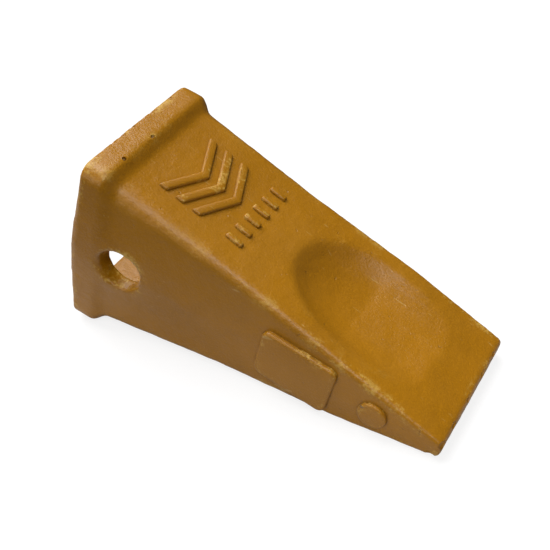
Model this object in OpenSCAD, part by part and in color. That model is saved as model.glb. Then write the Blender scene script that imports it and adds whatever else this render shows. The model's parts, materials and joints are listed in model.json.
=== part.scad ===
// Bucket tooth for an excavator: a cast wedge that slips over an adapter nose and is held by a cross pin.
// The wedge is drawn along its own centre line, with x = 0 at the rear face and +X towards the tip,
// and is then laid on its underside. The origin of the finished part is the middle of the pin's axis.

/* [Overall] */
// Length from the rear face to the tip
tooth_length = 247; // [235:1:260]
// Distance from the rear face to the pin's axis
pin_from_rear = 33; // [31:1:36]

/* [Flange] */
// Width of the thick rim at the rear
flange_w = 108; // [106:1:112]
// Height of the rim
flange_h = 129; // [126:1:132]
// Length of the rim along the tooth
flange_len = 14; // [11:1:16]
// How far the side walls' rear edges bulge at mid height
rear_bulge = 3.6; // [1:0.2:5]

/* [Wedge] */
// Where the rim's slope has run down into the wedge
neck_x = 24.5; // [22:0.5:26]
// Width there, at the top and bottom edges
neck_w = 102; // [100:1:104]
// Height there
neck_h = 116; // [113:1:119]
// Where the wedge is narrowest
waist_x = 104; // [95:1:112]
// Width at the waist
waist_w = 94; // [90:1:98]
// Height at the waist
waist_h = 81; // [78:1:84]
// Start of the blade
blade_x = 182; // [175:1:190]
// Width of the blade
blade_w = 97; // [94:1:99]
// Height at the start of the blade
blade_h = 46; // [44:1:50]
// Width of the tip
tip_w = 96; // [92:1:98]
// Height of the tip
tip_h = 13; // [11:0.5:15]
// Radius along the tip's edges
tip_r = 2.8; // [1.5:0.1:4]

/* [Scoops] */
// Depth of each scoop at the centre of its round rear end
scoop_depth = 9.5; // [7:0.5:11]
// Half of the flat part of a scoop's floor
scoop_flat = 10; // [8:1:15]
// Radius of a scoop's sloping walls
scoop_wall_r = 58; // [50:1:65]
// Centre of a scoop's round rear end
scoop_x = 165; // [160:1:170]
// Where the floor meets the face again
scoop_end_x = 222; // [215:1:226]

/* [Socket] */
// Width of the socket at its mouth
mouth_w = 87; // [85:1:88]
// Height of the socket at its mouth
mouth_h = 108; // [104:1:110]
// Depth where the socket's sides begin to close in
knee_x = 46; // [44:1:52]
// Depth of the socket
socket_depth = 140; // [130:1:145]
// Width of the socket's end
end_w = 58; // [50:1:62]
// Height of the socket's end
end_h = 30; // [26:1:32]
// Radius of the socket's corners at the mouth
mouth_r = 9; // [6:1:12]

/* [Side pads] */
// Rear end of the long pad on each side
pad_x = 129; // [126:1:132]
// Length of the long pad
pad_len = 49; // [44:1:52]
// Height of the long pad above the side's middle
pad_top = 18.5; // [16:0.5:20]
// Centre of the round pad in front of it
disc_x = 204; // [200:1:206]
// Radius of the round pad
disc_r = 9; // [7:0.5:10]

/* [Raised marks] */
// Distance from the neck to the first arrowhead
mark_x = 12; // [8:1:16]
// Distance from one arrowhead to the next
mark_pitch = 12; // [11:1:14]
// Width of the arrowheads
mark_w = 54; // [40:1:60]
// Number of short bars in the row in front of the arrowheads
bars = 6; // [4:1:7]

/* [Pin and retainer] */
// Diameter of the locking pin
pin_d = 25; // [24:0.5:25.5]
// Length of the locking pin
pin_len = 100; // [96:1:104]
// How far the pin is drawn back from its locked place
pin_drawn = 21; // [21:1:30]
// Diameter of the bores through the side walls
bore_d = 28; // [27.5:0.1:28.5]
// Outside diameter of the split ring
ring_d = 42; // [40:0.5:44]
// Thickness of the split ring
ring_t = 8; // [7:0.5:9]
// Width of the ring's split
ring_split = 6; // [4:0.5:8]

/* [Hidden] */
$fn = 96;
hull_fn = 32;
thin = 0.02;                     // thickness of a hull's cross-sections
fit_gap = 0.06;                  // running gap between the pin and its ring
seat_gap = 0.3;                  // gap around the ring in its recess
groove_depth = 1;                // of the pin's groove
pin_chamfer = 3;
bore_chamfer = 1.7;
mouth_reach = 8;                 // how far the cutters reach past the rear face

// Radius of the long edges, and how far the sides stand out at mid height, at each station
edge_r = [9, 10.4, 5.5, 3.5];    // rim, neck, waist, blade
crown = [1.8, 4.2, 2, 1];        // rim, neck, waist, blade
crown_r = 6;                     // rounding of that crown

ear_half_w = 55;                 // outside of the side walls at the pin
wall_inside = 42;                // inside of the side walls at the pin
recess_depth = 4.5;              // of the ring's recess in the far wall
ring_y = wall_inside + recess_depth - ring_t / 2;

face_angle = atan((neck_h - waist_h) / 2 / (waist_x - neck_x));
blade_angle = atan((waist_h - blade_h) / 2 / (blade_x - waist_x));
pad_t = 14;                      // thickness of the side pads' solids, most of it inside the wall
pad_face = 51.2;                 // distance of the pads' outer faces from the middle
disc_face = 50.8;                // distance of the round pads' outer faces
pad_corner = [4, 8];             // length and height cut off the pads' corners
mark_t = 4;                      // thickness of the raised marks' solids
mark_up = 1.5;                   // how far they stand above the face
mark_stroke = 6;                 // width of an arrowhead's arms along the tooth
mark_point = 12;                 // how far an arrowhead's point is ahead of its arms' ends
bar_size = [12, 3.6];
bar_pitch = 10;
scoop_wall_h = 24;               // height of the scoops' sloping walls, past the face
scoop_reach = 120;               // length of the scoops' cutters, past the tip
wall_steps = 12;

// Angle that lays the tooth on its rim's lower edge and on the start of the blade or the tip,
// whichever touches the ground first
tip_z = tip_h / 2 - tip_r;
run = tooth_length - tip_r - flange_len;
rise = flange_h / 2 - tip_z;
on_tip = atan(rise / run) - asin(tip_r / sqrt(run * run + rise * rise));
on_blade = atan((flange_h - blade_h) / 2 / (blade_x - flange_len));
lying = min(on_tip, on_blade);

// Moves a shape from the tooth's own centre line to its place on the ground
module laid() {
  rotate([0, lying, 0]) translate([-pin_from_rear, 0, 0]) children();
}

// A cylinder along Y, from y0 to y1, on the pin's axis
module across(d, y0, y1) {
  translate([pin_from_rear, y1, 0]) rotate([90, 0, 0]) cylinder(d = d, h = y1 - y0);
}

// Thin cross-section of the outside at x: rounded corners, and sides that stand out at mid height
module section(x, w, h, r, out) {
  for (side = [-1, 1]) {
    for (up = [-1, 1])
      translate([x, side * (w / 2 - r), up * (h / 2 - r)])
        rotate([0, 90, 0]) cylinder(r = r, h = thin, center = true, $fn = hull_fn);
    translate([x, side * (w / 2 + out - crown_r), 0])
      rotate([0, 90, 0]) cylinder(r = crown_r, h = thin, center = true, $fn = hull_fn);
  }
}

module rim() {
  hull() {
    section(thin, flange_w, flange_h, edge_r[0], crown[0]);
    section(flange_len, flange_w, flange_h, edge_r[0], crown[0]);
    for (side = [-1, 1])
      translate([1 - rear_bulge, side * (flange_w / 2 + crown[0] - 3), 0])
        rotate([90, 0, 0]) cylinder(r = 1, h = 4, center = true, $fn = hull_fn);
  }
}

module wedge() {
  hull() {
    section(flange_len, flange_w, flange_h, edge_r[0], crown[0]);
    section(neck_x, neck_w, neck_h, edge_r[1], crown[1]);
  }
  hull() {
    section(neck_x, neck_w, neck_h, edge_r[1], crown[1]);
    section(waist_x, waist_w, waist_h, edge_r[2], crown[2]);
  }
  hull() {
    section(waist_x, waist_w, waist_h, edge_r[2], crown[2]);
    section(blade_x, blade_w, blade_h, edge_r[3], crown[3]);
  }
  hull() {
    section(blade_x, blade_w, blade_h, edge_r[3], crown[3]);
    for (side = [-1, 1], up = [-1, 1])
      translate([tooth_length - tip_r, side * (tip_w / 2 - tip_r), up * tip_z])
        sphere(r = tip_r, $fn = hull_fn);
  }
}

// Four rounded corners of the socket at depth x
module corners(x, w, h, r) {
  for (side = [-1, 1], up = [-1, 1])
    translate([x, side * (w / 2 - r), up * (h / 2 - r)]) sphere(r = r, $fn = hull_fn);
}

// Height of the socket at depth x
function socket_h(x) = mouth_h + (end_h - mouth_h) * x / socket_depth;

module socket() {
  // the knee's width puts the wall's inside at wall_inside on the pin's axis
  slope = (mouth_w / 2 - wall_inside) / pin_from_rear;
  knee_w = mouth_w - 2 * slope * knee_x;
  wide_w = mouth_w + 2 * slope * mouth_reach;
  hull() {
    corners(-mouth_reach, wide_w, socket_h(-mouth_reach), mouth_r);
    corners(knee_x, knee_w, socket_h(knee_x), mouth_r);
  }
  hull() {
    corners(knee_x, knee_w, socket_h(knee_x), mouth_r);
    corners(socket_depth - mouth_r, end_w, end_h, mouth_r);
  }
}

// Recess for the split ring in the far wall, open to the rear so that the ring goes in with the nose
module ring_recess() {
  d = ring_d + 2 * seat_gap;
  across(d, wall_inside - 6, wall_inside + recess_depth);
  translate([-mouth_reach, wall_inside - 6, -d / 2])
    cube([pin_from_rear + mouth_reach, recess_depth + 6, d]);
}

module bores() {
  across(bore_d, -flange_w, flange_w);
  for (turn = [0, 180])
    translate([pin_from_rear, 0, 0]) rotate([0, 0, turn])
      translate([0, ear_half_w - bore_chamfer, 0]) rotate([-90, 0, 0])
        cylinder(d1 = bore_d, d2 = bore_d + 4 * bore_chamfer, h = 2 * bore_chamfer);
}

// A trough with a round rear end. Its floor starts scoop_depth below the face and rises to meet it.
module scoop() {
  wall = [for (i = [0:wall_steps]) let (up = scoop_wall_h * i / wall_steps)
    [scoop_flat + sqrt(pow(scoop_wall_r, 2) - pow(scoop_wall_r - up, 2)), up]];
  face_z = blade_h / 2 + (blade_x - scoop_x) * tan(blade_angle);
  floor_z = face_z - scoop_depth;
  end_z = blade_h / 2 - (scoop_end_x - blade_x) * tan(blade_angle);
  rise_angle = atan((floor_z - end_z) / (scoop_end_x - scoop_x));
  translate([scoop_x, 0, floor_z]) rotate([0, rise_angle, 0]) {
    rotate_extrude() polygon(concat([[0, 0]], wall, [[0, scoop_wall_h]]));
    rotate([90, 0, 90]) linear_extrude(scoop_reach)
      polygon(concat(wall, [for (i = [wall_steps:-1:0]) [-wall[i][0], wall[i][1]]]));
  }
}

// Long pad on each side, which follows the lower edge at its front, and a round one in front of it
module side_pads() {
  x0 = pad_x;
  x1 = pad_x + pad_len;
  cx = pad_corner[0];
  cz = pad_corner[1];
  top = pad_top;
  front_low = blade_h / 2;       // the pad's lower front corner comes down to the blade's edge
  for (side = [-1, 1]) mirror([0, side < 0 ? 1 : 0, 0]) {
    translate([0, pad_face, 0]) rotate([90, 0, 0]) linear_extrude(pad_t)
      polygon([[x0, cz / 2 - top], [x0 + cx, -top - 1], [x1 - cx / 2, -front_low], [x1, cx - front_low],
        [x1, top - 1.5 - cx], [x1 - cx, top - 1.5], [x0 + 2 * cx, top], [x0, top - cz]]);
    translate([disc_x, disc_face, 0]) rotate([90, 0, 0]) cylinder(r = disc_r, h = pad_t);
  }
}

// Wide arrowhead that points along +X
module arrowhead() {
  half = mark_w / 2;
  linear_extrude(mark_t)
    polygon([[0, -half], [mark_stroke, -half], [mark_stroke + mark_point, 0], [mark_stroke, half],
      [0, half], [mark_point, 0]]);
}

// Plain raised marks on the upper face: three arrowheads that point to the tip and a row of short bars
module marks() {
  translate([neck_x, 0, neck_h / 2]) rotate([0, face_angle, 0])
    translate([mark_x, 0, mark_up - mark_t]) {
      for (i = [0:2]) translate([i * mark_pitch, 0, 0]) arrowhead();
      for (i = [0:bars - 1])
        translate([3 * mark_pitch + mark_point, (i - (bars - 1) / 2) * bar_pitch - bar_size[1] / 2, 0])
          cube([bar_size[0], bar_size[1], mark_t]);
    }
}

module tooth_casting() {
  color([0.62, 0.42, 0.12]) laid() {
    difference() {
      union() {
        rim();
        wedge();
        side_pads();
        marks();
      }
      socket();
      ring_recess();
      bores();
      scoop();
      mirror([0, 0, 1]) scoop();
    }
  }
}

// Round steel pin with chamfered ends and a groove that the ring snaps into at the locked place
module locking_pin() {
  r = pin_d / 2;
  half = pin_len / 2;
  g0 = ring_y - ring_t / 2 - 0.5;
  g1 = ring_y + ring_t / 2 + 0.5;
  color([0.33, 0.32, 0.31]) laid()
    translate([pin_from_rear, pin_drawn, 0]) rotate([-90, 0, 0])
      rotate_extrude()
        polygon([[0, -half], [r - pin_chamfer, -half], [r, -half + pin_chamfer],
          [r, g0], [r - groove_depth, g0 + 1], [r - groove_depth, g1 - 1], [r, g1],
          [r, half - pin_chamfer], [r - pin_chamfer, half], [0, half]]);
}

// Split spring-steel ring that sits in the far wall's recess and grips the pin
module pin_retainer() {
  color([0.24, 0.24, 0.25]) laid()
    difference() {
      across(ring_d, ring_y - ring_t / 2, ring_y + ring_t / 2);
      across(pin_d + 2 * fit_gap, ring_y - ring_t, ring_y + ring_t);
      translate([pin_from_rear - ring_d, ring_y - ring_t, -ring_split / 2])
        cube([ring_d, 2 * ring_t, ring_split]);
    }
}

tooth_casting();
locking_pin();
pin_retainer();
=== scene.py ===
import json
import math
import random

import bpy
from mathutils import Matrix, Vector


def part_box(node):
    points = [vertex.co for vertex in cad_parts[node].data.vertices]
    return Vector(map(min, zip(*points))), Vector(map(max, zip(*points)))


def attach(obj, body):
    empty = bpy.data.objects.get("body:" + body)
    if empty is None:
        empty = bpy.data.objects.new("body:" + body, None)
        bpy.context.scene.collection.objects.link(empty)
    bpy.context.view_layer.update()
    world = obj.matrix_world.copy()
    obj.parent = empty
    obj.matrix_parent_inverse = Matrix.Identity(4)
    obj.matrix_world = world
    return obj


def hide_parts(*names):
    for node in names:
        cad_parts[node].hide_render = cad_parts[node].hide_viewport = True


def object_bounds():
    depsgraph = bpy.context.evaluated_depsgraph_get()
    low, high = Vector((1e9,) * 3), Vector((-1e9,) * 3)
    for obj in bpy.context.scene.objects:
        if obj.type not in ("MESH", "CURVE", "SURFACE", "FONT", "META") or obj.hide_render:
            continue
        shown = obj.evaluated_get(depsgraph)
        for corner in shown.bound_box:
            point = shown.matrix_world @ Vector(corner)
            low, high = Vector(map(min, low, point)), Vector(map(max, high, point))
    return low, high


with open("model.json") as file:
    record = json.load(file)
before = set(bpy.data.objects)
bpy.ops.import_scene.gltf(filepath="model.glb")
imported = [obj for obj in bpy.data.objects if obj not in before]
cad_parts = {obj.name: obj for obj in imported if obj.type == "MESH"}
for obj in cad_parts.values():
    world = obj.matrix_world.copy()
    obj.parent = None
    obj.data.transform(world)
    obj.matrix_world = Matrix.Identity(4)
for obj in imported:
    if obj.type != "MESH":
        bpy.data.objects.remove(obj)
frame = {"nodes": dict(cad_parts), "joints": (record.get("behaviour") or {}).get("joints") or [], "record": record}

# An excavator bucket tooth: a painted casting, its locking pin and the split ring that keeps the pin in.
# The casting is modelled along its own centre line, with x = 0 on the pin's axis and +X towards the tip,
# and is then laid on its underside as the frame has it.

MM = 0.001
CAD_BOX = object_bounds()

# The adapter slides out along the socket mount's axis, so that axis gives the angle at which the tooth lies.
SOCKET = next(m for m in frame["record"]["mounts"] if m["name"] == "adapter_socket")
LYING = math.atan2(SOCKET["axis"][2], -SOCKET["axis"][0])
LAID = Matrix.Rotation(LYING, 4, "Y")

# Sizes of the casting along its own centre line, read from the frame
OWN = [LAID.inverted() @ v.co for v in frame["nodes"]["tooth_casting"].data.vertices]
TIP = max(p.x for p in OWN)
RIM_HALF_H = max(p.z for p in OWN)
RIM_TOP = [p.x for p in OWN if p.z > RIM_HALF_H - 0.1 * MM]
REAR, RIM_END = min(RIM_TOP), max(RIM_TOP)
EAR = REAR - min(p.x for p in OWN)
LENGTH = TIP - REAR
RIM_HALF_W = max(abs(p.y) for p in OWN)

# Main cross-sections of the outside: place along the length, then half widths at the edges and at mid height
# as shares of the rim's half width, half height as a share of the rim's, and the radius of the long edges
RIM = (0.057, 0.968, 1.000, 1.000, 10.0 * MM)
NECK = (0.099, 0.916, 0.990, 0.899, 12.0 * MM)
WAIST = (0.421, 0.842, 0.878, 0.629, 6.5 * MM)
BLADE = (0.737, 0.870, 0.888, 0.357, 3.8 * MM)
TIP_END = (1.000, 0.861, 0.866, 0.101, 2.8 * MM)

LEVELS = (-0.3, -0.1, 0, 0.1, 0.3)  # rows of points up the side walls, as shares of the rim's half height
SKIN_STEP = 1.3 * MM        # size of the casting's mesh
NEAR = 0.01 * MM            # how close a point lies to a place to be picked as one of its own
REAR_INSET = 1.6 * MM       # how far the rim's rear edge is rounded in
SCOOP_DEPTH = 10.5 * MM
PAD_FACE = 51.2 * MM        # distance of the long pads' outer faces from the middle
DISC_FACE = 50.8 * MM
MARK_UP = 1.5 * MM
MARK_WIDTH = 54 * MM


# ---------------------------------------------------------------- helpers for modelling

def clear_selection():
    if bpy.context.object and bpy.context.object.mode != "OBJECT":
        bpy.ops.object.mode_set(mode="OBJECT")
    bpy.ops.object.select_all(action="DESELECT")


def activate(piece):
    clear_selection()
    piece.select_set(True)
    bpy.context.view_layer.objects.active = piece


def name_piece(name):
    piece = bpy.context.object
    piece.name = name
    piece.data.name = name
    return piece


def apply_place(piece):
    activate(piece)
    bpy.ops.object.transform_apply(location=True, rotation=True, scale=True)


def apply_modifiers(piece):
    activate(piece)
    for modifier in list(piece.modifiers):
        bpy.ops.object.modifier_apply(modifier=modifier.name)


def pick(piece, test, kind="VERT"):
    """Selects, in edit mode, the vertices or faces that pass a test of their vertices' places."""
    bpy.ops.object.mode_set(mode="EDIT")
    bpy.ops.mesh.select_mode(type=kind)
    bpy.ops.mesh.select_all(action="DESELECT")
    bpy.ops.object.mode_set(mode="OBJECT")
    if kind == "VERT":
        for vertex in piece.data.vertices:
            vertex.select = test(vertex.co)
    else:
        places = [v.co for v in piece.data.vertices]
        for face in piece.data.polygons:
            face.select = all(test(places[i]) for i in face.vertices)
    bpy.ops.object.mode_set(mode="EDIT")


def pick_long_edges(piece, axis, length):
    """Selects, in edit mode, the edges that run further than a length along one axis."""
    bpy.ops.object.mode_set(mode="EDIT")
    bpy.ops.mesh.select_mode(type="EDGE")
    bpy.ops.mesh.select_all(action="DESELECT")
    bpy.ops.object.mode_set(mode="OBJECT")
    for edge in piece.data.edges:
        a, b = (piece.data.vertices[i].co for i in edge.vertices)
        edge.select = abs(a[axis] - b[axis]) > length
    bpy.ops.object.mode_set(mode="EDIT")


def cut(target, cutter, operation="DIFFERENCE"):
    """Joins a solid to the target or takes it away, and removes it."""
    modifier = target.modifiers.new("cut", "BOOLEAN")
    modifier.operation = operation
    modifier.solver = "MANIFOLD"
    modifier.object = cutter
    apply_modifiers(target)
    bpy.data.objects.remove(cutter)


def joined(pieces):
    """One object made of several separate solids."""
    clear_selection()
    for piece in pieces:
        piece.select_set(True)
    bpy.context.view_layer.objects.active = pieces[0]
    bpy.ops.object.join()
    return pieces[0]


def cast_skin(piece, step, rounds):
    """Turns a solid into one even skin and softens its edges, as sand moulding does."""
    remesh = piece.modifiers.new("skin", "REMESH")
    remesh.mode = "VOXEL"
    remesh.voxel_size = step
    remesh.use_smooth_shade = True
    soften = piece.modifiers.new("soften", "SMOOTH")
    soften.factor = 0.5
    soften.iterations = rounds
    apply_modifiers(piece)


def lay_down(piece):
    """Turns a piece from the tooth's own centre line to the way the tooth lies."""
    piece.rotation_euler = (0, LYING, 0)
    apply_place(piece)


# ---------------------------------------------------------------- the casting

def mix(a, b, share):
    return tuple(p + (q - p) * share for p, q in zip(a, b))


def outline_at(x):
    """Half widths at the edges and at mid height, half height and edge radius of the outside at x."""
    share = (x - REAR) / LENGTH
    if share <= RIM[0]:
        found = RIM
    elif share <= NECK[0]:
        along = (share - RIM[0]) / (NECK[0] - RIM[0])
        found = mix(RIM, NECK, 0.5 - 0.5 * math.cos(math.pi * along))
    else:
        stations = [NECK, WAIST, BLADE, TIP_END]
        i = 0 if share <= WAIST[0] else 1 if share <= BLADE[0] else 2
        found = mix(stations[i], stations[i + 1],
                    (share - stations[i][0]) / (stations[i + 1][0] - stations[i][0]))
    return found[1] * RIM_HALF_W, found[2] * RIM_HALF_W, found[3] * RIM_HALF_H, found[4]


def ring_places():
    """Places of the outside's cross-sections, each with how far it is drawn in, to round the two ends."""
    places = [(REAR, REAR_INSET), (REAR + 1.8 * MM, 0.0), (RIM_END, 0.0)]
    neck = REAR + NECK[0] * LENGTH
    places += [(RIM_END + (neck - RIM_END) * i / 6, 0.0) for i in range(1, 7)]
    for start, end, parts in ((NECK, WAIST, 4), (WAIST, BLADE, 4), (BLADE, TIP_END, 3)):
        gap = (end[0] - start[0]) * LENGTH / parts
        places += [(REAR + start[0] * LENGTH + gap * i, 0.0) for i in range(1, parts + 1)]
    places[-1] = (TIP - 2.4 * MM, 0.0)
    return places + [(TIP - 0.7 * MM, 0.9 * MM), (TIP, 2.4 * MM)]


def wedge():
    """The outside of the casting: a bar with rounded long edges, cut into rings that are then shaped."""
    start_r = 10 * MM
    clear_selection()
    bpy.ops.mesh.primitive_cube_add(size=1)
    body = name_piece("tooth")
    body.scale = (LENGTH, 2 * RIM_HALF_W, 2 * RIM_HALF_H)
    body.location = (REAR + LENGTH / 2, 0, 0)
    apply_place(body)
    pick_long_edges(body, 0, LENGTH / 2)
    bpy.ops.mesh.bevel(offset=start_r, segments=8, profile=0.5)
    bpy.ops.mesh.select_mode(type="VERT")
    cuts = [((x, 0, 0), (1, 0, 0)) for x, inset in ring_places()[1:-1]]
    cuts += [((0, 0, level * RIM_HALF_H), (0, 0, 1)) for level in LEVELS]
    for place, normal in cuts:
        bpy.ops.mesh.select_all(action="SELECT")
        bpy.ops.mesh.bisect(plane_co=place, plane_no=normal)
    for x, inset in ring_places():
        shape_ring(body, x, inset, start_r)
    bulge_ears(body)
    bpy.ops.object.mode_set(mode="OBJECT")
    return body


def shape_ring(body, x, inset, start_r):
    """Gives one ring its widths, height and corner radius."""
    half_w, half_mid, half_h, radius = outline_at(x)
    half_w, half_mid, half_h = half_w - inset, half_mid - inset, half_h - inset
    radius = max(radius - inset, 0.4 * MM)
    corner_z = RIM_HALF_H - start_r
    for side in (-1, 1):
        for up in (-1, 1):
            centre = Vector((x, side * (RIM_HALF_W - start_r), up * corner_z))
            pick(body, lambda p: abs(p.x - x) < NEAR and p.y * side > 0 and p.z * up > corner_z - NEAR)
            bpy.ops.transform.resize(value=(1, radius / start_r, radius / start_r),
                                     center_override=centre)
            goal = Vector((x, side * (half_w - radius), up * (half_h - radius)))
            bpy.ops.transform.translate(value=goal - centre)
        for level in LEVELS:
            old_z = level * RIM_HALF_H
            pick(body, lambda p: abs(p.x - x) < NEAR and p.y * side > 0 and abs(p.z - old_z) < NEAR)
            out = half_mid - (half_mid - half_w) * max(abs(level) - 0.04, 0) / 0.9
            shift = Vector((0, side * (out - RIM_HALF_W), old_z * (half_h / RIM_HALF_H - 1)))
            bpy.ops.transform.translate(value=shift)


def bulge_ears(body):
    """Draws the side walls' rear edges back, most of all at mid height."""
    for level in LEVELS:
        z = level * (RIM_HALF_H - REAR_INSET)
        back = EAR * (1 - abs(level)) - 0.2 * MM
        pick(body, lambda p: p.x < REAR + NEAR and abs(p.z - z) < 0.6 * MM)
        bpy.ops.transform.translate(value=(-back, 0, 0))


def socket_cutter():
    """The hollow that the adapter nose fills: a tapering bar with rounded edges and a blind round end."""
    mouth_w, mouth_h = 43.9 * MM, 56.2 * MM
    clear_selection()
    bpy.ops.mesh.primitive_cube_add(size=1)
    hollow = name_piece("hollow")
    back, knee, end = REAR - 8 * MM, REAR + 46 * MM, REAR + 140 * MM
    hollow.scale = (end - back, 2 * mouth_w, 2 * mouth_h)
    hollow.location = ((end + back) / 2, 0, 0)
    apply_place(hollow)
    bpy.ops.object.mode_set(mode="EDIT")
    bpy.ops.mesh.select_all(action="SELECT")
    bpy.ops.mesh.bisect(plane_co=(knee, 0, 0), plane_no=(1, 0, 0))
    for x, half_w, half_h in ((knee, 41.4 * MM, 41.2 * MM), (end, 29 * MM, 15 * MM)):
        pick(hollow, lambda p: abs(p.x - x) < NEAR)
        bpy.ops.transform.resize(value=(1, half_w / mouth_w, half_h / mouth_h),
                                 center_override=(x, 0, 0))
    bpy.ops.object.mode_set(mode="OBJECT")
    bevel = hollow.modifiers.new("corners", "BEVEL")
    bevel.width = 9 * MM
    bevel.segments = 6
    bevel.limit_method = "ANGLE"
    bevel.angle_limit = math.radians(40)
    apply_modifiers(hollow)
    return hollow


def rod(radius, low_y, high_y, place=(0, 0), corners=64):
    """A closed round bar along Y."""
    clear_selection()
    bpy.ops.mesh.primitive_cylinder_add(vertices=corners, radius=radius, depth=high_y - low_y,
                                        rotation=(math.radians(90), 0, 0),
                                        location=(place[0], (low_y + high_y) / 2, place[1]))
    bar = name_piece("rod")
    apply_place(bar)
    return bar


def bore_cutter():
    """A bar through both side walls that flares where the bore meets the outside, as a moulded lip does."""
    bore = rod(14 * MM, -70 * MM, 70 * MM)
    flares = ((52.4, 1.0), (53.5, 1.03), (54.6, 1.09), (55.6, 1.18), (57.5, 1.38))
    bpy.ops.object.mode_set(mode="EDIT")
    for turn in (-1, 1):
        for out, flare in flares:
            bpy.ops.mesh.select_all(action="SELECT")
            bpy.ops.mesh.bisect(plane_co=(0, turn * out * MM, 0), plane_no=(0, 1, 0))
    for turn in (-1, 1):
        for out, flare in flares + ((70, 1.38),):
            pick(bore, lambda p: abs(p.y - turn * out * MM) < NEAR)
            bpy.ops.transform.resize(value=(flare, 1, flare), center_override=(0, 0, 0))
    bpy.ops.object.mode_set(mode="OBJECT")
    return bore


def recess_cutter():
    """The slot in the far wall that the split ring lies in, open to the rear."""
    inner_y, floor_y, radius, reach = 36 * MM, 46.5 * MM, 21.3 * MM, 44 * MM
    slot = rod(radius, inner_y, floor_y)
    clear_selection()
    bpy.ops.mesh.primitive_cube_add(size=1)
    way = name_piece("way")
    way.scale = (reach, floor_y - inner_y, 2 * radius)
    way.location = (-reach / 2, (inner_y + floor_y) / 2, 0)
    apply_place(way)
    cut(slot, way, "UNION")
    return slot


def scoop_cutter():
    """A trough with a blunt round rear end. Its walls are steepest just under their rounded lip, and its
    floor rises to meet the face near the tip."""
    centre, length, rear_stretch = REAR + 169 * MM, 57 * MM, 1.37
    flat_r, lip_r, above, steepest, bend = 7 * MM, 39 * MM, 3 * MM, 0.82, 2.4
    curl = 1 / (steepest / bend + (1 - steepest) / 2)
    place, slope = face_place(centre, 0)
    clear_selection()
    bpy.ops.mesh.primitive_cylinder_add(vertices=96, radius=flat_r, depth=SCOOP_DEPTH + above,
                                        end_fill_type="NGON",
                                        location=(0, 0, (above - SCOOP_DEPTH) / 2))
    trough = name_piece("trough")
    apply_place(trough)
    rings = []
    for t in [i / 16 for i in range(1, 17)]:
        rise = curl / bend * t ** bend / steepest ** (bend - 1)
        if t > steepest:
            rise = 1 - curl * (1 - t) ** 2 / (2 * (1 - steepest))
        rings.append((flat_r + (lip_r - flat_r) * t, SCOOP_DEPTH * (rise - 1)))
    bpy.ops.object.mode_set(mode="EDIT")
    for reach, z in rings:
        bpy.ops.mesh.select_all(action="SELECT")
        bpy.ops.mesh.bisect(plane_co=(0, 0, z), plane_no=(0, 0, 1))
    for reach, z in rings + [(lip_r, above)]:
        pick(trough, lambda p: abs(p.z - z) < 0.001 * MM)
        bpy.ops.transform.resize(value=(reach / flat_r, reach / flat_r, 1), center_override=(0, 0, z))
    pick(trough, lambda p: p.x < 0)
    bpy.ops.transform.resize(value=(rear_stretch, 1, 1), center_override=(0, 0, 0))
    pick(trough, lambda p: p.x > 0.1 * MM)
    bpy.ops.transform.translate(value=(length, 0, 0))
    pick(trough, lambda p: p.x > 0.1 * MM and p.z < above / 2)
    bpy.ops.transform.resize(value=(1, 1, 0.02), center_override=(0, 0, 0.4 * MM))
    bpy.ops.object.mode_set(mode="OBJECT")
    trough.location = place
    trough.rotation_euler = (0, slope, 0)
    apply_place(trough)
    return trough


def mirrored_down(piece):
    """A copy of a piece, mirrored from the upper face to the underside."""
    activate(piece)
    bpy.ops.object.duplicate()
    copy = bpy.context.object
    copy.scale = (1, 1, -1)
    apply_place(copy)
    bpy.ops.object.mode_set(mode="EDIT")
    bpy.ops.mesh.select_all(action="SELECT")
    bpy.ops.mesh.normals_make_consistent(inside=False)
    bpy.ops.object.mode_set(mode="OBJECT")
    return copy


def side_pad(side):
    """The long low pad on a side wall. Its front follows the blade's lower edge."""
    clear_selection()
    bpy.ops.mesh.primitive_cube_add(size=1)
    pad = name_piece("pad")
    length, thick, height, middle = 49 * MM, 12 * MM, 36.5 * MM, REAR + 153.5 * MM
    pad.scale = (length, thick, height)
    pad.location = (middle, side * (PAD_FACE - thick / 2), 0)
    apply_place(pad)
    pick(pad, lambda p: p.x > middle and p.z > 0)
    bpy.ops.transform.translate(value=(0, 0, -1.4 * MM))
    pick(pad, lambda p: p.x > middle and p.z < 0)
    bpy.ops.transform.translate(value=(0, 0, -2.8 * MM))
    pick_long_edges(pad, 1, thick / 2)
    bpy.ops.mesh.bevel(offset=5.5 * MM, segments=5)
    pick(pad, lambda p: p.y * side > PAD_FACE - 0.1 * MM, "FACE")
    bpy.ops.mesh.bevel(offset=1.7 * MM, segments=3)
    bpy.ops.object.mode_set(mode="OBJECT")
    return pad


def side_disc(side):
    """The round low pad in front of the long one."""
    inner, outer = sorted((side * 40 * MM, side * DISC_FACE))
    disc = rod(9 * MM, inner, outer, place=(REAR + 204 * MM, 0), corners=48)
    pick(disc, lambda p: p.y * side > DISC_FACE - 0.1 * MM, "FACE")
    bpy.ops.mesh.bevel(offset=1.3 * MM, segments=3)
    bpy.ops.object.mode_set(mode="OBJECT")
    return disc


def face_place(x, y):
    """Where something lies on the upper face, and the face's slope there."""
    slope = math.atan2(outline_at(x)[2] - outline_at(x + MM)[2], MM)
    return Vector((x, y, outline_at(x)[2])), slope


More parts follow.
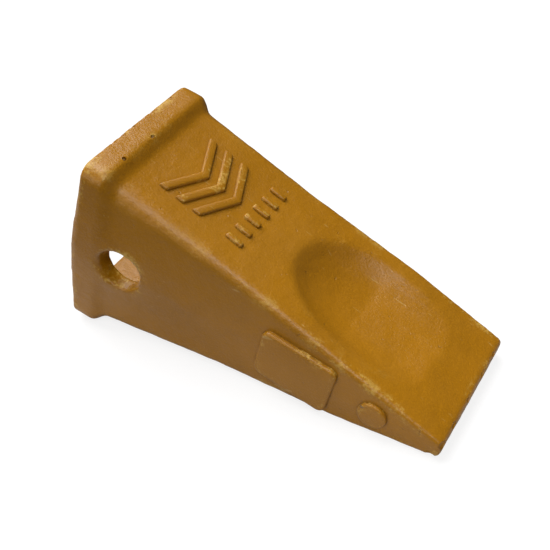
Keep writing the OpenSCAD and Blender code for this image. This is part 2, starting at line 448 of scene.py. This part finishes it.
def raised_mark(length, width, point, x, y):
    """One raised mark on the upper face, its middle drawn forward to a point, with rounded edges."""
    clear_selection()
    bpy.ops.mesh.primitive_cube_add(size=1)
    mark = name_piece("mark")
    thick = 6 * MM
    mark.scale = (length, width, thick)
    mark.location = (length / 2, 0, MARK_UP - thick / 2)
    apply_place(mark)
    if point:
        bpy.ops.object.mode_set(mode="EDIT")
        bpy.ops.mesh.select_all(action="SELECT")
        bpy.ops.mesh.bisect(plane_co=(0, 0, 0), plane_no=(0, 1, 0))
        pick(mark, lambda p: abs(p.y) < NEAR)
        bpy.ops.transform.translate(value=(point, 0, 0))
        bpy.ops.object.mode_set(mode="OBJECT")
    round_off = mark.modifiers.new("rounded edges", "BEVEL")
    round_off.width = 1.2 * MM
    round_off.segments = 3
    round_off.limit_method = "ANGLE"
    round_off.angle_limit = math.radians(40)
    apply_modifiers(mark)
    place, slope = face_place(x, y)
    mark.matrix_world = Matrix.Translation(place) @ Matrix.Rotation(slope, 4, "Y")
    apply_place(mark)
    return mark


def marks():
    """Plain raised marks: three wide arrowheads that point to the tip, and a row of short bars."""
    first = REAR + NECK[0] * LENGTH + 12 * MM
    head_gap, bars_at, bar_gap = 11.7 * MM, first + 47 * MM, 10 * MM
    heads = [raised_mark(6 * MM, MARK_WIDTH, 12 * MM, first + head_gap * i, 0) for i in range(3)]
    bars = [raised_mark(11.5 * MM, 3.9 * MM, 0, bars_at, bar_gap * (i - 2.5)) for i in range(6)]
    return heads + bars


def bite(x, y, z, size):
    """A small lump whose shape is taken out of the casting."""
    clear_selection()
    bpy.ops.mesh.primitive_ico_sphere_add(subdivisions=2, radius=1, location=(x, y, z))
    lump = name_piece("bite")
    lump.scale = [s * MM for s in size]
    lump.rotation_euler = (0.4, 0.7, 0.2)
    apply_place(lump)
    return lump


def wear_bites():
    """Casting pits on the rim's front edge, a broken tip corner, and rough tip and rear edges."""
    top = RIM_HALF_H
    tip_half = TIP_END[3] * RIM_HALF_H
    tip_side = TIP_END[1] * RIM_HALF_W
    bites = [bite(RIM_END + 0.6 * MM, -31 * MM, top - 0.9 * MM, (1.5, 1.5, 1.9)),
             bite(RIM_END + 1.0 * MM, -4 * MM, top - 1.0 * MM, (1.1, 1.8, 1.2)),
             bite(TIP - 0.4 * MM, 2.4 * MM - tip_side, tip_half - 1.8 * MM, (3.4, 3.4, 3.2)),
             bite(TIP - 0.6 * MM, 8 * MM - tip_side, 1 * MM - tip_half, (3.6, 3.8, 4.4)),
             bite(TIP - 5 * MM, 0.6 * MM - tip_side, 0.8 * MM - tip_half, (3.4, 2.0, 3.4))]
    chance = random.Random(5)
    for i in range(11):
        up = -1 if i % 3 else 1
        bites.append(bite(TIP - 0.9 * MM, (-30 + 7.2 * i + chance.uniform(-2, 2)) * MM,
                          up * (tip_half - chance.uniform(0.3, 0.9) * MM),
                          (chance.uniform(1.2, 2.2), chance.uniform(2.0, 3.4), chance.uniform(1.0, 2.0))))
    for i in range(10):
        bites.append(bite(REAR + 0.6 * MM, (-43 + 9.6 * i + chance.uniform(-2, 2)) * MM,
                          top + chance.uniform(-0.5, 0.1) * MM,
                          (chance.uniform(2.0, 3.2), chance.uniform(2.0, 4.4), chance.uniform(1.5, 2.3))))
    for i in range(9):
        z = (-52 + 12.8 * i + chance.uniform(-2, 2)) * MM
        bites.append(bite(REAR - EAR * (1 - abs(z) / RIM_HALF_H) + 1.2 * MM,
                          chance.uniform(0.0, 0.5) * MM - RIM_HALF_W, z,
                          (chance.uniform(1.6, 2.6), chance.uniform(1.0, 1.7), chance.uniform(1.8, 4.2))))
    return bites


def rough_skin(piece):
    """Unevenness of a sand casting, always inwards so that the casting stays inside its size."""
    for label, size, depth in (("sand waves", 11 * MM, 0.5 * MM), ("sand lumps", 3.5 * MM, 0.22 * MM)):
        waves = bpy.data.textures.new(label, "CLOUDS")
        waves.noise_scale = size
        waves.noise_depth = 2
        uneven = piece.modifiers.new(label, "DISPLACE")
        uneven.texture = waves
        uneven.texture_coords = "LOCAL"
        uneven.mid_level = 1.0
        uneven.strength = depth
    apply_modifiers(piece)


def make_casting():
    body = wedge()
    cut(body, socket_cutter())
    cut(body, recess_cutter())
    cut(body, bore_cutter())
    scoop = scoop_cutter()
    under = mirrored_down(scoop)
    cut(body, scoop)
    cut(body, under)
    cast_skin(body, SKIN_STEP, 4)
    rough_skin(body)
    pads = [make(side) for side in (-1, 1) for make in (side_pad, side_disc)]
    cut(body, joined(pads + marks()), "UNION")
    cut(body, joined(wear_bites()))
    lay_down(body)
    bpy.ops.object.shade_smooth_by_angle(angle=math.radians(38))
    return body


# ---------------------------------------------------------------- the locking pin and its split ring

def make_pin():
    """A turned round pin with chamfered ends and the groove that the ring snaps into."""
    low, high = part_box("locking_pin")
    radius = (high.x - low.x) / 2
    middle_y, half = (low.y + high.y) / 2, (high.y - low.y) / 2
    ring_low, ring_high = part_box("pin_retainer")
    travel = frame["joints"][0]["range_m"][0]
    groove = (ring_low.y + ring_high.y) / 2 - travel
    chamfer, depth, half_groove = 3 * MM, 1 * MM, (ring_high.y - ring_low.y) / 2
    pin = rod(radius, low.y, high.y, corners=96)
    name_piece("pin")
    for side in (-1, 1):
        pick(pin, lambda p: (p.y - middle_y) * side > half - NEAR, "FACE")
        bpy.ops.mesh.bevel(offset=chamfer, segments=1)
    cuts = [groove - half_groove - 0.5 * MM, groove - half_groove + 0.5 * MM,
            groove + half_groove - 0.5 * MM, groove + half_groove + 0.5 * MM]
    for y in cuts:
        bpy.ops.mesh.select_all(action="SELECT")
        bpy.ops.mesh.bisect(plane_co=(0, y, 0), plane_no=(0, 1, 0))
    pick(pin, lambda p: cuts[1] - NEAR < p.y < cuts[2] + NEAR)
    bpy.ops.transform.resize(value=((radius - depth) / radius, 1, (radius - depth) / radius),
                             center_override=(0, groove, 0))
    for end in (low.y, high.y):
        pick(pin, lambda p: abs(p.y - end) < NEAR, "FACE")
        bpy.ops.mesh.inset(thickness=4.5 * MM)
        bpy.ops.mesh.inset(thickness=1.5 * MM, depth=-0.8 * MM)
    bpy.ops.object.mode_set(mode="OBJECT")
    soft_edges(pin, 0.35 * MM)
    return pin


def make_ring():
    """A thick ring of spring steel with a split, its edges broken on both faces."""
    low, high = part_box("pin_retainer")
    outer, inner = (high.z - low.z) / 2, 12.56 * MM
    ring = rod(outer, low.y, high.y, corners=96)
    name_piece("ring")
    cut(ring, rod(inner, low.y - 2 * MM, high.y + 2 * MM, corners=96))
    clear_selection()
    bpy.ops.mesh.primitive_cube_add(size=1)
    split = name_piece("split")
    split.scale = (outer, high.y - low.y + 4 * MM, 6 * MM)
    split.location = (-outer, (low.y + high.y) / 2, 0)
    apply_place(split)
    lay_down(split)
    cut(ring, split)
    soft_edges(ring, 0.6 * MM)
    return ring


def soft_edges(piece, width):
    """Breaks the sharp edges of a machined piece and shades it smooth."""
    bevel = piece.modifiers.new("broken edges", "BEVEL")
    bevel.width = width
    bevel.segments = 3
    bevel.limit_method = "ANGLE"
    bevel.angle_limit = math.radians(30)
    apply_modifiers(piece)
    bpy.ops.object.shade_smooth_by_angle(angle=math.radians(35))


# ---------------------------------------------------------------- materials

def new_group(name, inputs, outputs):
    """An empty shader group with named values going in, each with its default, and named results."""
    group = bpy.data.node_groups.new(name, "ShaderNodeTree")
    for label, value in inputs.items():
        socket = group.interface.new_socket(label, in_out="INPUT", socket_type="NodeSocketFloat")
        socket.default_value = value
    for label in outputs:
        group.interface.new_socket(label, in_out="OUTPUT", socket_type="NodeSocketFloat")
    return group, group.nodes.new("NodeGroupInput"), group.nodes.new("NodeGroupOutput")


def noise(tree, scale, detail=3.0, roughness=0.5, vector=None):
    """Noise on the piece's own coordinates. Scale is a number or a socket."""
    node = tree.nodes.new("ShaderNodeTexNoise")
    node.inputs["Detail"].default_value = detail
    node.inputs["Roughness"].default_value = roughness
    if isinstance(scale, (int, float)):
        node.inputs["Scale"].default_value = scale
    else:
        tree.links.new(scale, node.inputs["Scale"])
    if vector is None:
        vector = tree.nodes.new("ShaderNodeTexCoord").outputs["Object"]
    tree.links.new(vector, node.inputs["Vector"])
    return node.outputs["Fac"]


def maths(tree, operation, a, b=0.0, clamp=False):
    node = tree.nodes.new("ShaderNodeMath")
    node.operation = operation
    node.use_clamp = clamp
    for socket, value in zip(node.inputs, (a, b)):
        if isinstance(value, (int, float)):
            socket.default_value = value
        else:
            tree.links.new(value, socket)
    return node.outputs[0]


def ramp(tree, value, low, high, out_low=0.0, out_high=1.0):
    node = tree.nodes.new("ShaderNodeMapRange")
    node.interpolation_type = "SMOOTHSTEP"
    tree.links.new(value, node.inputs["Value"])
    for label, number in (("From Min", low), ("From Max", high), ("To Min", out_low), ("To Max", out_high)):
        node.inputs[label].default_value = number
    return node.outputs["Result"]


def blend(tree, factor, a, b):
    """Mixes two colours, each a colour or a socket."""
    node = tree.nodes.new("ShaderNodeMix")
    node.data_type = "RGBA"
    tree.links.new(factor, node.inputs["Factor"])
    for socket, colour in ((node.inputs["A"], a), (node.inputs["B"], b)):
        if isinstance(colour, tuple):
            socket.default_value = (*colour, 1)
        else:
            tree.links.new(colour, socket)
    return node.outputs["Result"]


def closeness(tree, distance, inside):
    """How much of the piece is close by: behind the surface at outer edges, before it in creases."""
    node = tree.nodes.new("ShaderNodeAmbientOcclusion")
    node.inside = inside
    node.only_local = True
    node.samples = 6
    tree.links.new(distance, node.inputs["Distance"])
    return maths(tree, "SUBTRACT", 1.0, node.outputs["AO"])


def wear_and_crease_shade_group():
    """Where knocks reach a piece's edges, broken up by noise, and painted shade in its creases, found by
    occlusion.
    """
    group, entry, result = new_group("edge wear and crease shade", {"Width": 0.003, "Breakup": 300.0, "Amount": 0.5},
                                     ["Mask", "Crease shade"])
    edge = ramp(group, closeness(group, entry.outputs["Width"], True), 0.02, 0.16)
    fine = noise(group, entry.outputs["Breakup"], 4.0, 0.65)
    broad = noise(group, maths(group, "MULTIPLY", entry.outputs["Breakup"], 0.12), 2.0, 0.5)
    spots = maths(group, "ADD", maths(group, "MULTIPLY", fine, 0.5), maths(group, "MULTIPLY", broad, 0.5))
    limit = maths(group, "SUBTRACT", 0.92, maths(group, "MULTIPLY", entry.outputs["Amount"], 0.5))
    over = maths(group, "SUBTRACT", maths(group, "ADD", spots, maths(group, "MULTIPLY", edge, 0.25)), limit)
    worn = maths(group, "MULTIPLY", over, 14.0, clamp=True)
    group.links.new(maths(group, "MULTIPLY", worn, ramp(group, edge, 0.0, 0.25)), result.inputs["Mask"])
    # Painted shade: creases are found by how much of the piece lies close in front of the surface, and this mask
    # darkens them.
    crease_shade_width = maths(group, "MULTIPLY", entry.outputs["Width"], 0.4)
    crease_shade = ramp(group, closeness(group, crease_shade_width, False), 0.12, 0.6)
    group.links.new(crease_shade, result.inputs["Crease shade"])
    return group


def sand_grain_group():
    """The skin that a sand mould leaves: fine grains on a slow swell, and scattered pits."""
    group, entry, result = new_group("sand grain", {"Scale": 600.0, "Pits": 0.5}, ["Height", "Pit"])
    grains = noise(group, entry.outputs["Scale"], 4.0, 0.6)
    swell = noise(group, maths(group, "MULTIPLY", entry.outputs["Scale"], 0.18), 2.0, 0.5)
    pit_noise = noise(group, maths(group, "MULTIPLY", entry.outputs["Scale"], 0.35), 2.0, 0.4)
    pits = ramp(group, pit_noise, 0.73, 0.80)
    pits = maths(group, "MULTIPLY", pits, entry.outputs["Pits"])
    height = maths(group, "ADD", maths(group, "MULTIPLY", grains, 0.6), maths(group, "MULTIPLY", swell, 0.4))
    group.links.new(maths(group, "SUBTRACT", height, pits), result.inputs["Height"])
    group.links.new(pits, result.inputs["Pit"])
    return group


def handling_group():
    """Marks of handling: thin scuffs in two directions and a film of dust, both as masks."""
    group, entry, result = new_group("handling", {"Scale": 60.0, "Scuffs": 0.5}, ["Scuff", "Dust"])
    place = group.nodes.new("ShaderNodeTexCoord").outputs["Object"]
    lines = []
    for turn, stretch in ((0.5, 14.0), (-0.9, 18.0)):
        mapping = group.nodes.new("ShaderNodeMapping")
        mapping.inputs["Rotation"].default_value = (0.2, 0.4, turn)
        mapping.inputs["Scale"].default_value = (1.0, stretch, 3.0)
        group.links.new(place, mapping.inputs["Vector"])
        lines.append(ramp(group, noise(group, entry.outputs["Scale"], 2.0, 0.5, mapping.outputs["Vector"]),
                          0.735, 0.76))
    scuff = maths(group, "MULTIPLY", maths(group, "MAXIMUM", lines[0], lines[1]), entry.outputs["Scuffs"])
    group.links.new(scuff, result.inputs["Scuff"])
    film = noise(group, maths(group, "MULTIPLY", entry.outputs["Scale"], 0.5), 5.0, 0.6)
    dust = ramp(group, film, 0.4, 0.75)
    group.links.new(dust, result.inputs["Dust"])
    return group


WEAR_AND_CREASE_SHADE, SAND_GRAIN, HANDLING = wear_and_crease_shade_group(), sand_grain_group(), handling_group()


def use_group(tree, group, **values):
    node = tree.nodes.new("ShaderNodeGroup")
    node.node_tree = group
    for label, value in values.items():
        node.inputs[label].default_value = value
    return node.outputs


def new_finish(name):
    material = bpy.data.materials.new(name)
    material.use_nodes = True
    tree = material.node_tree
    return material, tree, tree.nodes["Principled BSDF"]


def bump(tree, shader, height, distance, strength=1.0):
    node = tree.nodes.new("ShaderNodeBump")
    node.inputs["Distance"].default_value = distance
    node.inputs["Strength"].default_value = strength
    tree.links.new(height, node.inputs["Height"])
    tree.links.new(node.outputs["Normal"], shader.inputs["Normal"])


def ochre_paint():
    """Thick ochre paint over the casting's sandy skin, chalky and pale where edges have been knocked."""
    material, tree, shader = new_finish("ochre paint")
    grain = use_group(tree, SAND_GRAIN, Scale=700.0, Pits=0.5)
    wear = use_group(tree, WEAR_AND_CREASE_SHADE, Width=0.006, Breakup=480.0, Amount=0.30)
    bare = use_group(tree, WEAR_AND_CREASE_SHADE, Width=0.004, Breakup=330.0, Amount=0.08)
    handled = use_group(tree, HANDLING, Scale=38.0, Scuffs=0.8)
    clouds = ramp(tree, noise(tree, 26.0, 4.0, 0.55), 0.3, 0.7)
    colour = blend(tree, clouds, (0.318, 0.131, 0.0015), (0.364, 0.151, 0.0025))
    # Painted highlights: tiny lighter dots stand in for the sparkle of light on the grain.
    painted_glint_speckle = ramp(tree, noise(tree, 900.0, 3.0, 0.6), 0.42, 0.75, 0.0, 0.5)
    colour = blend(tree, painted_glint_speckle, colour, (0.45, 0.195, 0.005))
    colour = blend(tree, maths(tree, "MULTIPLY", handled["Dust"], 0.05), colour, (0.42, 0.25, 0.075))
    # Painted shade: the grain's pits are darkened, as shade in them.
    colour = blend(tree, maths(tree, "MULTIPLY", grain["Pit"], 0.6), colour, (0.12, 0.055, 0.008))
    # Painted shade: creases darkened towards a deep brown.
    colour = blend(tree, maths(tree, "MULTIPLY", wear["Crease shade"], 0.55), colour, (0.10, 0.050, 0.012))
    colour = blend(tree, maths(tree, "MULTIPLY", handled["Scuff"], 0.6), colour, (0.52, 0.33, 0.10))
    colour = blend(tree, maths(tree, "MULTIPLY", wear["Mask"], 0.8), colour, (0.58, 0.36, 0.07))
    colour = blend(tree, bare["Mask"], colour, (0.11, 0.09, 0.065))
    tree.links.new(colour, shader.inputs["Base Color"])
    rough = ramp(tree, noise(tree, 90.0, 4.0, 0.6), 0.25, 0.75, 0.29, 0.37)
    rough = maths(tree, "ADD", rough, maths(tree, "MULTIPLY", wear["Mask"], 0.2), clamp=True)
    tree.links.new(rough, shader.inputs["Roughness"])
    shader.inputs["IOR"].default_value = 1.45
    bump(tree, shader, grain["Height"], 0.0006, 0.8)
    return material


def black_pin_steel():
    """Turned steel, blacked in oil: fine lathe rings, with bright metal where the black has rubbed off."""
    material, tree, shader = new_finish("black pin steel")
    place = tree.nodes.new("ShaderNodeTexCoord").outputs["Object"]
    rings = tree.nodes.new("ShaderNodeTexWave")
    rings.bands_direction = "Y"
    rings.inputs["Scale"].default_value = 420.0
    rings.inputs["Distortion"].default_value = 1.5
    rings.inputs["Detail"].default_value = 2.0
    tree.links.new(place, rings.inputs["Vector"])
    wear = use_group(tree, WEAR_AND_CREASE_SHADE, Width=0.002, Breakup=500.0, Amount=0.8)
    handled = use_group(tree, HANDLING, Scale=90.0, Scuffs=1.0)
    patches = ramp(tree, noise(tree, 70.0, 5.0, 0.6), 0.35, 0.7)
    colour = blend(tree, patches, (0.10, 0.098, 0.095), (0.17, 0.160, 0.150))
    colour = blend(tree, handled["Scuff"], colour, (0.42, 0.41, 0.40))
    colour = blend(tree, wear["Mask"], colour, (0.50, 0.49, 0.47))
    tree.links.new(colour, shader.inputs["Base Color"])
    shader.inputs["Metallic"].default_value = 1.0
    rough = ramp(tree, noise(tree, 220.0, 4.0, 0.6), 0.2, 0.8, 0.30, 0.50)
    tree.links.new(rough, shader.inputs["Roughness"])
    bump(tree, shader, rings.outputs["Fac"], 0.00006, 0.5)
    return material


def blued_spring_steel():
    """Spring steel blued by its heat treatment, with pale worn edges and a light scale."""
    material, tree, shader = new_finish("blued spring steel")
    grain = use_group(tree, SAND_GRAIN, Scale=900.0, Pits=0.2)
    wear = use_group(tree, WEAR_AND_CREASE_SHADE, Width=0.002, Breakup=600.0, Amount=0.8)
    handled = use_group(tree, HANDLING, Scale=120.0, Scuffs=0.7)
    patches = ramp(tree, noise(tree, 110.0, 4.0, 0.6), 0.3, 0.7)
    colour = blend(tree, patches, (0.045, 0.050, 0.068), (0.085, 0.080, 0.085))
    colour = blend(tree, maths(tree, "MAXIMUM", wear["Mask"], handled["Scuff"]), colour, (0.36, 0.35, 0.34))
    tree.links.new(colour, shader.inputs["Base Color"])
    shader.inputs["Metallic"].default_value = 1.0
    rough = ramp(tree, noise(tree, 260.0, 3.0, 0.5), 0.2, 0.8, 0.34, 0.52)
    tree.links.new(rough, shader.inputs["Roughness"])
    bump(tree, shader, grain["Height"], 0.0001, 0.4)
    return material


def pale_board():
    """White board under the tooth, lit evenly to the eye. Only the part near the tooth throws light back."""
    material, tree, shader = new_finish("pale board")
    place = tree.nodes.new("ShaderNodeTexCoord").outputs["Object"]
    split = tree.nodes.new("ShaderNodeSeparateXYZ")
    tree.links.new(place, split.inputs[0])
    near = ramp(tree, maths(tree, "ABSOLUTE", split.outputs["Y"]), 0.10, 0.16, 1.0, 0.0)
    tree.links.new(blend(tree, near, (0.05, 0.05, 0.05), (0.48, 0.48, 0.48)), shader.inputs["Base Color"])
    shader.inputs["Roughness"].default_value = 0.9
    shader.inputs["Specular IOR Level"].default_value = 0.1
    white = tree.nodes.new("ShaderNodeBsdfDiffuse")
    white.inputs["Color"].default_value = (0.22, 0.22, 0.22, 1)
    glow = tree.nodes.new("ShaderNodeEmission")
    glow.inputs["Color"].default_value = (1, 1, 1, 1)
    glow.inputs["Strength"].default_value = 0.80
    both = tree.nodes.new("ShaderNodeAddShader")
    tree.links.new(white.outputs["BSDF"], both.inputs[0])
    tree.links.new(glow.outputs["Emission"], both.inputs[1])
    seen = tree.nodes.new("ShaderNodeLightPath")
    choice = tree.nodes.new("ShaderNodeMixShader")
    tree.links.new(seen.outputs["Is Camera Ray"], choice.inputs["Fac"])
    tree.links.new(shader.outputs["BSDF"], choice.inputs[1])
    tree.links.new(both.outputs["Shader"], choice.inputs[2])
    tree.links.new(choice.outputs["Shader"], tree.nodes["Material Output"].inputs["Surface"])
    return material


# ---------------------------------------------------------------- putting the pieces in place

def place_piece(piece, node, body, material):
    piece.data.materials.clear()
    piece.data.materials.append(material)
    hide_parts(node)
    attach(piece, body)


place_piece(make_casting(), "tooth_casting", "tooth", ochre_paint())
place_piece(make_pin(), "locking_pin", "pin", black_pin_steel())
place_piece(make_ring(), "pin_retainer", "tooth", blued_spring_steel())


# ---------------------------------------------------------------- floor, camera and light

def make_floor():
    clear_selection()
    bpy.ops.mesh.primitive_plane_add(size=30, location=(0, 0, CAD_BOX[0][2]))
    floor = name_piece("floor")
    apply_place(floor)
    floor.data.materials.append(pale_board())


def direction(azimuth, elevation):
    """Unit vector towards a place seen from the tooth: azimuth 0 is -Y, 90 is +X."""
    a, e = math.radians(azimuth), math.radians(elevation)
    return Vector((math.sin(a) * math.cos(e), -math.cos(a) * math.cos(e), math.sin(e)))


def aimed(place, target, roll=0.0):
    """Matrix of a camera or lamp at a place, turned towards a target."""
    back = (place - target).normalized()
    right = Vector((0, 0, 1)).cross(back).normalized()
    up = back.cross(right)
    turned_right = right * math.cos(roll) + up * math.sin(roll)
    turned_up = up * math.cos(roll) - right * math.sin(roll)
    matrix = Matrix((turned_right, turned_up, back)).transposed().to_4x4()
    matrix.translation = place
    return matrix


def make_camera():
    data = bpy.data.cameras.new("camera")
    data.lens = 62.1
    data.sensor_width = 36
    data.shift_x = -0.0009
    data.shift_y = 0.0167
    data.clip_start = 0.01
    camera = bpy.data.objects.new("camera", data)
    bpy.context.scene.collection.objects.link(camera)
    target = LAID @ Vector((REAR + 0.452 * LENGTH, 0, 0))
    camera.matrix_world = aimed(target + direction(30.84, 41.29) * 0.582, target, math.radians(-1.54))
    bpy.context.scene.camera = camera


def soft_lamp(name, azimuth, elevation, strength, spread):
    """A large soft lamp far away, seen from the tooth as a disc that many degrees across."""
    data = bpy.data.lights.new(name, "SUN")
    data.energy = strength
    data.angle = math.radians(spread)
    lamp = bpy.data.objects.new(name, data)
    bpy.context.scene.collection.objects.link(lamp)
    lamp.matrix_world = aimed(direction(azimuth, elevation), Vector((0, 0, 0)))


def light_room():
    soft_lamp("wide overhead lamp", -112, 61, 3.5, 50)
    soft_lamp("front lamp", 31, 55, 1.2, 28)
    soft_lamp("low side lamp", -28, 14, 0.62, 40)
    world = bpy.data.worlds.new("dim room")
    world.use_nodes = True
    tree = world.node_tree
    room = tree.nodes["Background"]
    room.inputs["Color"].default_value = (1, 1, 1, 1)
    room.inputs["Strength"].default_value = 0.07
    backdrop = tree.nodes.new("ShaderNodeBackground")
    backdrop.inputs["Color"].default_value = (1, 1, 1, 1)
    backdrop.inputs["Strength"].default_value = 1.0
    seen = tree.nodes.new("ShaderNodeLightPath")
    choice = tree.nodes.new("ShaderNodeMixShader")
    tree.links.new(seen.outputs["Is Camera Ray"], choice.inputs["Fac"])
    tree.links.new(room.outputs["Background"], choice.inputs[1])
    tree.links.new(backdrop.outputs["Background"], choice.inputs[2])
    tree.links.new(choice.outputs["Shader"], tree.nodes["World Output"].inputs["Surface"])
    bpy.context.scene.world = world


make_floor()
make_camera()
light_room()
bpy.context.scene.view_settings.view_transform = "Standard"
